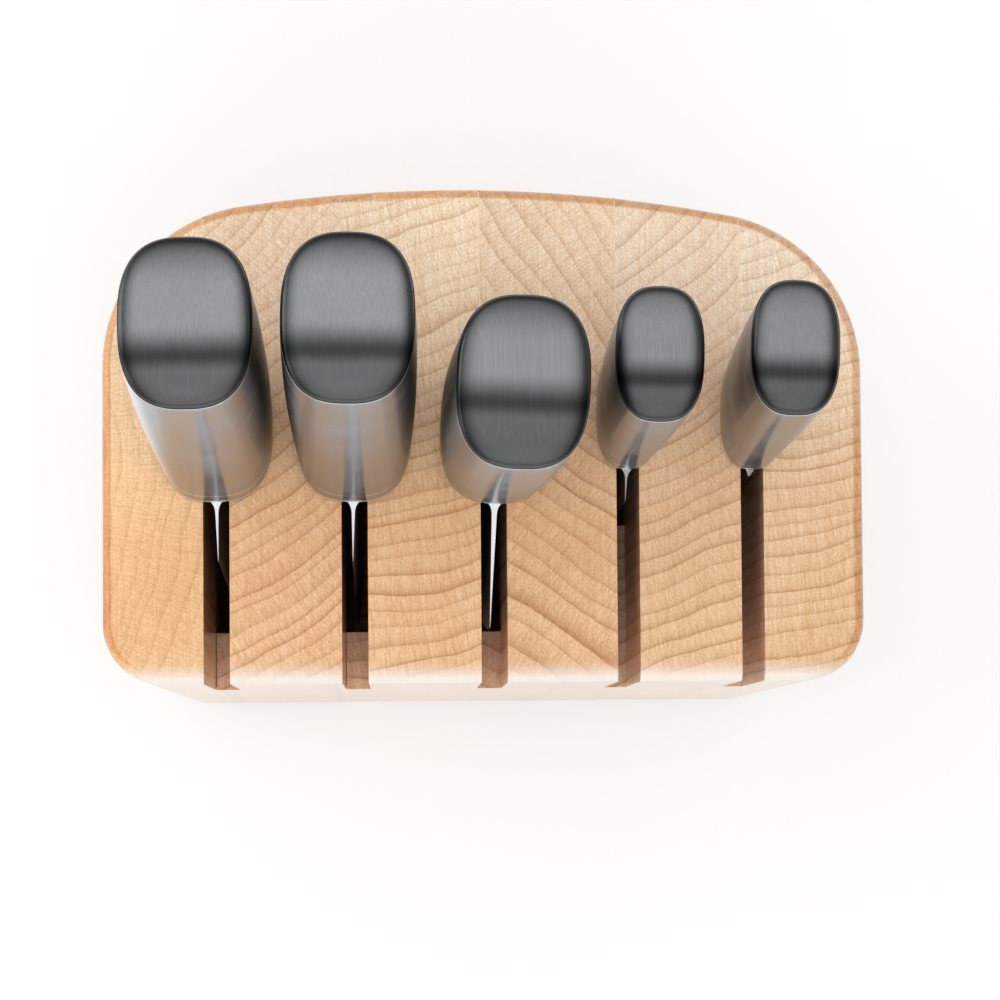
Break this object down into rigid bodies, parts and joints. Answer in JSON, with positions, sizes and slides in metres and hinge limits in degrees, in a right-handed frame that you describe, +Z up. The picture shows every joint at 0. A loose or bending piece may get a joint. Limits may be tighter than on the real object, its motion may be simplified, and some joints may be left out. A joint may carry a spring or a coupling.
{
  "type": "knife block with knives",
  "caption": "Upright beech knife block glued up from staves, with front-opening slots that hold all-steel kitchen knives which lift out.",
  "frame": {"origin": "on the table, under the middle of the block", "axes": "+Z up along the staves, +Y towards the bowed back, +X to the right seen from the front where the slots open"},
  "size_m": [0.1568, 0.102, 0.3511],
  "materials": {
    "beech": "clear lacquered beech, end grain up",
    "glue": "pale cured wood glue",
    "foot_rubber": "matt black rubber",
    "screw_steel": "zinc-plated steel",
    "blade_steel": "finely ground stainless steel",
    "handle_steel": "satin stainless steel",
    "cap_steel": "dark brushed steel"
  },
  "bodies": {
    "block": {"stave_1": "beech", "stave_2": "beech", "stave_3": "beech", "stave_4": "beech", "stave_5": "beech", "stave_6": "beech", "glue_line_1": "glue", "glue_line_2": "glue", "glue_line_3": "glue", "glue_line_4": "glue", "glue_line_5": "glue", "rubber_feet": "foot_rubber", "foot_screws": "screw_steel"},
    "bread_knife": {"bread_blade": "blade_steel", "bread_bolster": "handle_steel", "bread_handle": "handle_steel", "bread_end_cap": "cap_steel"},
    "carving_knife": {"carving_blade": "blade_steel", "carving_bolster": "handle_steel", "carving_handle": "handle_steel", "carving_end_cap": "cap_steel"},
    "chef_knife": {"chef_blade": "blade_steel", "chef_bolster": "handle_steel", "chef_handle": "handle_steel", "chef_end_cap": "cap_steel"},
    "utility_knife": {"utility_blade": "blade_steel", "utility_bolster": "handle_steel", "utility_handle": "handle_steel", "utility_end_cap": "cap_steel"},
    "paring_knife": {"paring_blade": "blade_steel", "paring_bolster": "handle_steel", "paring_handle": "handle_steel", "paring_end_cap": "cap_steel"}
  },
  "joints": [
    {"name": "bread_knife_lift", "type": "slide", "parent": "block", "child": "bread_knife", "axis": [-0.0035, 0.0802, 0.9968], "range_m": [0, 0.205]},
    {"name": "carving_knife_lift", "type": "slide", "parent": "block", "child": "carving_knife", "axis": [0.0017, 0.0889, 0.996], "range_m": [0, 0.215]},
    {"name": "chef_knife_lift", "type": "slide", "parent": "block", "child": "chef_knife", "axis": [0.0183, -0.0087, 0.9998], "range_m": [0, 0.17]},
    {"name": "utility_knife_lift", "type": "slide", "parent": "block", "child": "utility_knife", "axis": [0.0122, 0.0279, 0.9995], "range_m": [0, 0.14]},
    {"name": "paring_knife_lift", "type": "slide", "parent": "block", "child": "paring_knife", "axis": [0.0061, 0.041, 0.9991], "range_m": [0, 0.105]}
  ]
}
